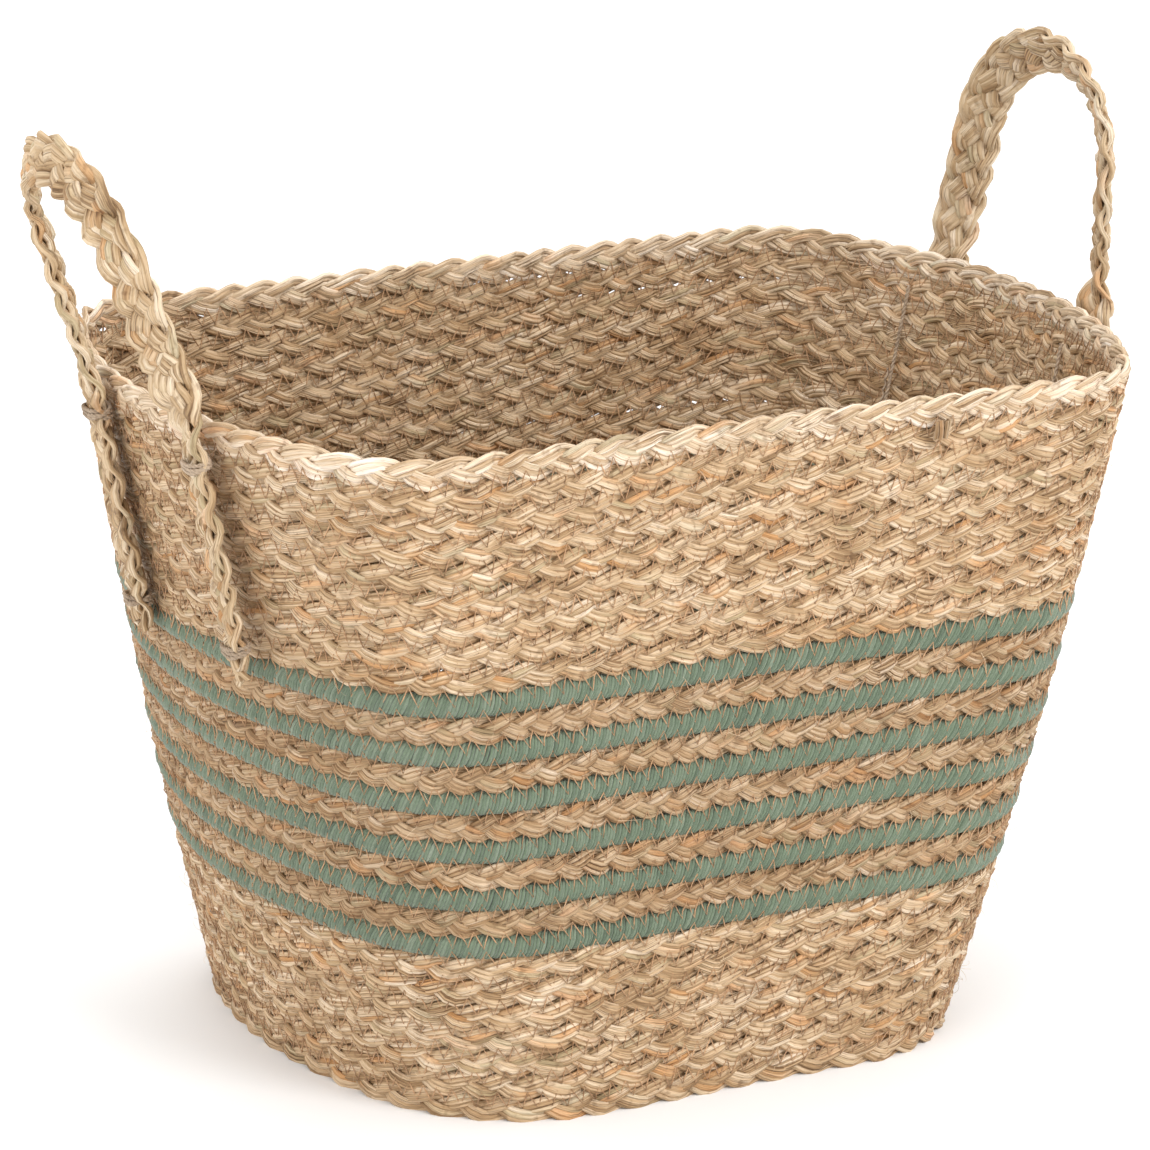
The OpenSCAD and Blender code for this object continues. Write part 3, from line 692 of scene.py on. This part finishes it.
class BASKET_OT_stage(bpy.types.Operator):
    """Set the pale floor, the soft lights and the camera"""
    bl_idname = "basket.stage"
    bl_label = "Stage, lights and camera"

    def execute(self, context):
        mesh = bpy.data.meshes.new("stage_floor")
        half = 7.0
        corners = [(-half, -half, 0), (half, -half, 0), (half, half, 0), (-half, half, 0)]
        mesh.from_pydata(corners, [], [(0, 1, 2, 3)])
        floor = bpy.data.objects.new("stage_floor", mesh)
        context.scene.collection.objects.link(floor)
        f = Finish("Stage floor", specular=0.2)
        grain = f.cloud(f.object_place(), 3.0, 1.0)
        base = f.ramp(grain, [(0.3, (0.88, 0.88, 0.88)), (0.7, (0.90, 0.90, 0.90))])
        mesh.materials.append(f.done(base, f.maths("MULTIPLY_ADD", grain, 0.1, 0.8), grain, 0.0001))
        world = bpy.data.worlds.new("Studio")
        world.use_nodes = True
        sky = world.node_tree.nodes["Background"].inputs
        sky["Color"].default_value = (1.0, 1.0, 1.0, 1.0)
        sky["Strength"].default_value = 1.15
        context.scene.world = world
        for name, place, size, power in (
                ("Key", (0.7, -2.4, 2.3), 1.1, 42.0),
                ("Fill", (-2.6, -1.2, 1.6), 2.0, 20.0),
                ("Top", (0.2, 0.9, 2.8), 1.6, 22.0)):
            light = bpy.data.lights.new(name, "AREA")
            light.size = size
            light.energy = power
            lamp = bpy.data.objects.new(name, light)
            context.scene.collection.objects.link(lamp)
            lamp.location = place
            aim = Vector((0, 0, 0.15)) - Vector(place)
            lamp.rotation_euler = aim.to_track_quat("-Z", "Y").to_euler()
        data = bpy.data.cameras.new("Camera")
        data.sensor_fit = "HORIZONTAL"
        data.angle = math.radians(10.08)
        camera = bpy.data.objects.new("Camera", data)
        context.scene.collection.objects.link(camera)
        turn, rise, roll = math.radians(-31.8), math.radians(17.8), 0.036
        distance, aside, above = 2.645, 0.0078, 0.0383
        level = math.cos(rise)
        back = Vector((math.sin(turn) * level, -math.cos(turn) * level, math.sin(rise)))
        target = Vector((0, 0, 0.14))
        place = target + back * distance
        right = (-back).cross(Vector((0, 0, 1))).normalized()
        up = right.cross(-back).normalized()
        aim = target - right * aside + up * above
        ahead = (aim - place).normalized()
        right = ahead.cross(Vector((0, 0, 1))).normalized()
        up = right.cross(ahead).normalized()
        x = right * math.cos(roll) + up * math.sin(roll)
        y = up * math.cos(roll) - right * math.sin(roll)
        camera.matrix_world = Matrix((
            (x.x, y.x, -ahead.x, place.x), (x.y, y.y, -ahead.y, place.y),
            (x.z, y.z, -ahead.z, place.z), (0, 0, 0, 1)))
        data.clip_end = 50.0
        context.scene.camera = camera
        context.scene.view_settings.view_transform = "Standard"
        return {"FINISHED"}


class BASKET_OT_wall(bpy.types.Operator):
    """Lay the seagrass plaits of the wall and the rim, one round above the other"""
    bl_idname = "basket.wall"
    bl_label = "Seagrass rounds"

    def execute(self, context):
        sizes = context.scene.basket_wall
        kinds = {"lower": ("wall", sizes.wall_stroke), "upper": ("wall", sizes.wall_stroke),
                 "stripe": ("stripe", sizes.stripe_stroke), "rim": ("rim", sizes.rim_stroke)}
        for order, (node, low, high, _, _) in enumerate(rounds()):
            kind = node.split("_")[0]
            if kind == "green":
                continue
            key, stroke = kinds[kind]
            half = (high - low) / 2
            points, sides, faces = wall_line((low + high) / 2, half, sizes.plait_thickness / 2)
            turns = round(span(points) / stroke)
            beside_cord = kind == "stripe" or node in ("upper_course_1", "lower_course_7")
            reach = half * (1.10 if kind == "rim" else 1.02 if beside_cord else 1.14)
            piece = new_plait(
                node.replace("_course", "_plait"), guide_line(points, sides, faces), key, 3, turns,
                turns * 13, reach, 0.0014, order * 13.7)
            settle(piece, "basket", key + "_seagrass" if kind != "stripe" else "band_seagrass", node)
            PLAITS.append(piece)
        return {"FINISHED"}


class BASKET_OT_cords(bpy.types.Operator):
    """Lay the green cotton cords between the stripes"""
    bl_idname = "basket.cords"
    bl_label = "Green cords"

    def execute(self, context):
        sizes = context.scene.basket_cord
        inset = context.scene.basket_wall.plait_thickness / 2
        for order, (node, low, high, _, _) in enumerate(rounds()):
            if not node.startswith("green"):
                continue
            half = (high - low) / 2
            points, sides, faces = wall_line((low + high) / 2, half, inset)
            turns = round(span(points) / sizes.stroke)
            piece = new_twist(
                node.replace("_course", "_cord"), guide_line(points, sides, faces), "cord", sizes.strands,
                turns, turns * 10, Crossings=-1.0, Sway=half - 0.1 * sizes.yarn, Depth=0.0027,
                Blade_Width=sizes.yarn, Blade_Thickness=0.0011, Wander=0.00026, Seed=order * 5.3)
            settle(piece, "basket", "green_cord", node)
            PLAITS.append(piece)
        return {"FINISHED"}


class BASKET_OT_floor(bpy.types.Operator):
    """Coil the floor plait from the middle outwards"""
    bl_idname = "basket.floor"
    bl_label = "Floor coil"

    def execute(self, context):
        sizes = context.scene.basket_wall
        low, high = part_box("floor_coil")
        half_length, half_width = (high.x - low.x) / 2, (high.y - low.y) / 2
        laps = 10
        pitch = half_width / (laps + 1)
        rows = []
        per_lap = len(oval(half_length, half_width, sizes.base_corner, sizes.base_end_turn))
        for lap in range(laps + 1):
            for i in range(per_lap):
                inward = pitch * (0.5 + lap + i / per_lap)
                if half_width - inward < pitch * 0.35:
                    break
                wide = half_width - inward
                corner = max(sizes.base_corner / half_width * wide * 0.95, pitch * 0.3)
                ring = oval(half_length - inward, wide, min(corner, wide * 0.98), sizes.base_end_turn)
                rows.append(ring[i])
        rows = np.array(rows)[::-1]
        points = np.c_[rows[:, :2], np.full(len(rows), (low.z + high.z) / 2)]
        sides = np.c_[rows[:, 2:], np.zeros(len(rows))]
        faces = np.tile((0.0, 0.0, 1.0), (len(rows), 1))
        turns = round(span(points, False) / sizes.floor_stroke)
        piece = new_plait(
            "floor_coil_plait", guide_line(points, sides, faces, closed=False), "floor", 3, turns,
            turns * 11, pitch * 0.52, 0.0015, 401.0, Sides=4, Blade_Thickness=0.0010, Fray=0.0)
        settle(piece, "basket", "floor_seagrass", "floor_coil")
        return {"FINISHED"}


class BASKET_OT_sewing(bpy.types.Operator):
    """Sew the rounds together with zigzag stitches, outside and inside"""
    bl_idname = "basket.sewing"
    bl_label = "Stitches"

    def execute(self, context):
        sizes = context.scene.basket_sewing
        inset = context.scene.basket_wall.plait_thickness / 2
        store = bpy.data.collections.new("Plaits")
        context.scene.collection.children.link(store)
        for piece in PLAITS:
            store.objects.link(piece)
        for kind, nodes in (("lower", ("lower",)), ("stripe", ("green", "stripe")), ("upper", ("upper",))):
            below = [row for row in rounds() if row[0].split("_")[0] in nodes]
            lines = [wall_line(row[2], (row[2] - row[1]) / 2, inset) for row in below]
            strokes = 2 * round(max(span(line[0]) for line in lines) / sizes.stroke / 2)
            for where, outward in (("outer", 1.0), ("inner", -1.0)):
                rows = [np.vstack([line[i] for line in lines]) for i in range(3)]
                piece = made(
                    f"{kind}_{where}_stitches", guide_line(*rows, loops=len(lines)), WEAVES["stitches"],
                    Points=strokes * 3, Reach=sizes.reach, Thread=sizes.thread, Outward=outward,
                    Least=0.0020, Seed=float(len(kind)), Plaits=store, Material=finish_for("thread"))
                settle(piece, "basket", "thread", kind + "_seams")
        for piece in PLAITS:
            store.objects.unlink(piece)
        bpy.data.collections.remove(store)
        return {"FINISHED"}


def handle_line(side):
    """Points, cross directions and girth of a handle's middle line, from one leg's tip to the other's"""
    sizes = bpy.context.scene.basket_handle
    name = "right" if side > 0 else "left"
    joint = next(j for j in frame["joints"] if j["name"] == name + "_handle_fold")
    fold_x, fold_z = abs(joint["pos_m"][0]), joint["pos_m"][2]
    half_span, splay, shift, skew, drift, lean, slope = (
        getattr(sizes, f"{name}_{key}")
        for key in ("half_span", "splay", "shift", "skew", "drift", "lean", "slope"))
    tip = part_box(name + "_handle_front_leg")[0].z
    spring = sizes.rise - half_span

    def leg(which):
        """The front leg's rows for -1, the back leg's for 1, from the tip up"""
        out = np.array((math.cos(slope), 0.0, -math.sin(slope)))
        face = math.cos(sizes.leg_roll) * out + math.sin(sizes.leg_roll) * np.array((0.0, 1.0, 0.0))
        found = []
        for z in np.linspace(tip, fold_z - sizes.gap, 34):
            x = fold_x - (fold_z - z) * math.tan(slope)
            y = shift + which * (half_span + splay) + drift * (fold_z - z) / (fold_z - tip)
            found.append(((x, y, z), face))
        return found

    def upright(reach, z, ny, nz):
        """One row above the fold, which leans with the handle"""
        y = shift + skew * z / sizes.rise + reach
        c, s = math.cos(lean), math.sin(lean)
        face = np.array((
            math.cos(sizes.roll), math.sin(sizes.roll) * ny, math.sin(sizes.roll) * nz))
        turned = np.array((face[0] * c + face[2] * s, face[1], face[2] * c - face[0] * s))
        return (fold_x + z * s, y, fold_z + z * c), turned

    def foot(z):
        return half_span + splay * (1 - z / spring)

    rows = leg(-1)
    rows += [upright(-foot(z), z, -1.0, 0.0) for z in np.linspace(sizes.gap, spring, 12, endpoint=False)]
    for turn in np.linspace(math.pi, 0.0, 44):
        c, s = math.cos(turn), math.sin(turn)
        rows.append(upright(half_span * c, spring + half_span * s, c, s))
    rows += [upright(foot(z), z, 1.0, 0.0) for z in np.linspace(spring, sizes.gap, 13)[1:]]
    rows += leg(1)[::-1]
    points = np.array([row[0] for row in rows])
    faces = np.array([row[1] for row in rows])
    points[:, 0] *= side
    faces[:, 0] *= side
    ahead = np.gradient(points, axis=0)
    ahead /= np.linalg.norm(ahead, axis=1)[:, None]
    sides = np.cross(faces, ahead)
    sides /= np.linalg.norm(sides, axis=1)[:, None]
    faces = np.cross(ahead, sides)
    girths = np.ones(len(points))
    for height, pinch in (("upper", 0.16), ("lower", 0.26)):
        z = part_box(f"{name}_front_{height}_tie")[0].z + 0.0018
        girths -= pinch * np.exp(-((points[:, 2] - z) / 0.006) ** 2)
    return points, sides, faces, girths, Vector((side * fold_x, 0.0, fold_z))


class BASKET_OT_handles(bpy.types.Operator):
    """Plait both handles with their legs down the end walls"""
    bl_idname = "basket.handles"
    bl_label = "Handles"

    def execute(self, context):
        sizes = context.scene.basket_handle
        for name, side in (("left", -1.0), ("right", 1.0)):
            points, sides, faces, girths, fold = handle_line(side)
            turns = span(points, False) / sizes.stroke
            piece = new_plait(
                name + "_handle_plait", guide_line(points, sides, faces, girths, closed=False), "handle",
                sizes.strands, turns, round(turns * 26), sizes.width / 2, 0.0018, 530.0 + side,
                Sides=7, Blade_Thickness=0.0013, Fray=0.016, Wander=0.0003)
            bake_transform(piece)
            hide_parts(name + "_handle_loop", name + "_handle_front_leg", name + "_handle_back_leg")
        return {"FINISHED"}


def squared(value):
    """A circle's sine or cosine pushed towards a rounded square's"""
    return math.copysign(abs(value) ** 0.72, value)


class BASKET_OT_ties(bpy.types.Operator):
    """Tie the handles' legs to the wall with twine"""
    bl_idname = "basket.ties"
    bl_label = "Twine ties"

    def execute(self, context):
        for name, side in (("left", -1.0), ("right", 1.0)):
            points, sides, faces, girths, _ = handle_line(side)
            half = len(points) // 2
            for leg, reach in (("front", range(half)), ("back", range(half, len(points)))):
                for height in ("upper", "lower"):
                    node = f"{name}_{leg}_{height}_tie"
                    low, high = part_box(node)
                    near = min(reach, key=lambda i: abs(points[i][2] - (low.z + high.z) / 2))
                    self.wind(node, points[near], sides[near], faces[near], girths[near])
                self.drop(f"{name}_{leg}_inner_twine", side)
        return {"FINISHED"}

    def wind(self, node, middle, across, out, girth):
        """Turns of twine round a leg"""
        handle, radius = bpy.context.scene.basket_handle, bpy.context.scene.basket_sewing.tie_twine
        along = np.cross(across, out)
        wide = handle.width / 2 * girth * 0.95
        deep = handle.thickness / 2 + 0.6 * radius
        steps, per_turn, climb = 72, 24, 0.0036
        rows, faces = [], []
        for step in range(steps + 1):
            turn = math.tau * step / per_turn
            c, s = math.cos(turn), math.sin(turn)
            spot = across * wide * squared(c) + out * deep * squared(s)
            wave = 0.0004 * math.sin(turn * 1.7 + middle[1] * 90)
            rows.append(middle + spot + along * ((step / steps - 0.5) * climb + wave))
            faces.append(across * c + out * s)
        rows = np.array(rows)
        guide = guide_line(rows, [along] * len(rows), faces, closed=False)
        turns = span(rows, False) / 0.0042
        piece = new_twine(node + "_twine", guide, turns, 240, 0.00015, middle[1] * 700)
        settle(piece, "basket", "twine", node)

    def drop(self, node, side):
        """The twine's two strands down the inside of the wall"""
        low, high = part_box(node)
        y, steps = (low.y + high.y) / 2, 26
        heights = np.linspace(low.z, high.z, steps)
        ends = (low.x, high.x) if side > 0 else (-high.x, -low.x)
        inner = side * np.interp(heights, (low.z, high.z), ends)
        bow = np.sin(np.linspace(0, math.pi, steps)) * 0.0006
        slant = np.linspace(-0.0022, 0.0022, steps)
        points = np.vstack([
            np.c_[inner, y + strand * 0.0007 + bow * strand + slant, heights] for strand in (-1, 1)])
        guide = guide_line(
            points, [(0.0, 1.0, 0.0)] * len(points), [(-side, 0.0, 0.0)] * len(points), closed=False, loops=2)
        turns = (high.z - low.z) / 0.0045
        piece = new_twine(node + "_strands", guide, turns, 110, 0.0002, y * 500)
        settle(piece, "basket", "twine", node)


class BASKET_OT_fibres(bpy.types.Operator):
    """Let loose fibres stand up from the seagrass rounds"""
    bl_idname = "basket.fibres"
    bl_label = "Loose fibres"

    def execute(self, context):
        sizes = context.scene.basket_wall
        for name, inset, density, seed in (
                ("outer", 0.0, 4200.0, 7), ("inner", sizes.plait_thickness, 1500.0, 8)):
            points, quads = [], []
            for node, low, high, _, _ in rounds():
                if node.startswith("green") or low < sizes.plait_thickness:
                    continue
                for z in (low, high):
                    points.append(wall_line(z, (high - low) / 2, inset)[0])
                each = len(points[-1])
                first = (len(points) - 2) * each
                for i in range(each):
                    a, b = first + i, first + (i + 1) % each
                    quad = (a, b, b + each, a + each)
                    quads.append(quad if name == "outer" else (a, *quad[:0:-1]))
            mesh = bpy.data.meshes.new("guide")
            mesh.from_pydata(np.vstack(points).tolist(), [], quads)
            guide = bpy.data.objects.new("guide", mesh)
            context.scene.collection.objects.link(guide)
            piece = made(
                name + "_loose_fibres", guide, WEAVES["fibres"], Density=density, Length=0.010,
                Thread=0.012, Seed=seed, Material=finish_for("wall"))
            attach(piece, "basket")
        return {"FINISHED"}


class BASKET_OT_plait_end(bpy.types.Operator):
    """Tuck the brown cut end of the last plait under the rim"""
    bl_idname = "basket.plait_end"
    bl_label = "Plait end"

    def execute(self, context):
        under_rim, x, below, stands_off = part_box("rim_course")[0].z, 0.072, 0.006, 0.0022
        line = wall_line(under_rim, 0.004, -stands_off)[0]
        front = min(line, key=lambda point: abs(point[0] - x) + 5 * max(0.0, point[1]))
        start = np.array((x, front[1], under_rim - below))
        points = np.linspace(start, start + np.array((0.0008, -0.0010, 0.0095)), 12)
        guide = guide_line(
            points, [(1.0, 0.0, 0.0)] * len(points), [(0.0, -1.0, 0.0)] * len(points), closed=False)
        piece = new_twist(
            "plait_end", guide, "stripe", 7, 0.08, 20, Sway=0.0026, Depth=0.0009, Blade_Width=0.0009,
            Blade_Thickness=0.0006, Wander=0.0003, Fray=0.12, Seed=88.0)
        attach(piece, "basket")
        return {"FINISHED"}


class BASKET_PT_panel(bpy.types.Panel):
    """Lists the basket's operators"""
    bl_idname = "BASKET_PT_panel"
    bl_label = "Basket"
    bl_space_type = "VIEW_3D"
    bl_region_type = "UI"
    bl_category = "Basket"

    def draw(self, context):
        for operator in OPERATORS:
            self.layout.operator(operator.bl_idname)


GROUPS = (BasketWallSizes, BasketCordSizes, BasketSewingSizes, BasketHandleSizes, BasketColours)
HOLDERS = ("basket_wall", "basket_cord", "basket_sewing", "basket_handle", "basket_colours")
OPERATORS = (BASKET_OT_stage, BASKET_OT_wall, BASKET_OT_cords, BASKET_OT_floor, BASKET_OT_sewing,
             BASKET_OT_handles, BASKET_OT_ties, BASKET_OT_fibres, BASKET_OT_plait_end)


def register():
    for group, holder in zip(GROUPS, HOLDERS):
        bpy.utils.register_class(group)
        setattr(bpy.types.Scene, holder, bpy.props.PointerProperty(type=group))
    for kind in OPERATORS + (BASKET_PT_panel,):
        bpy.utils.register_class(kind)


def unregister():
    for kind in reversed(OPERATORS + (BASKET_PT_panel,)):
        bpy.utils.unregister_class(kind)
    for group, holder in zip(reversed(GROUPS), reversed(HOLDERS)):
        delattr(bpy.types.Scene, holder)
        bpy.utils.unregister_class(group)


def main():
    register()
    WEAVES.update(plait=plait_weave(), stitches=stitch_weave(), fibres=fibre_weave())
    bpy.ops.basket.stage()
    bpy.ops.basket.wall()
    bpy.ops.basket.cords()
    bpy.ops.basket.floor()
    bpy.ops.basket.sewing()
    bpy.ops.basket.handles()
    bpy.ops.basket.ties()
    bpy.ops.basket.fibres()
    bpy.ops.basket.plait_end()


if __name__ == "__main__":
    main()
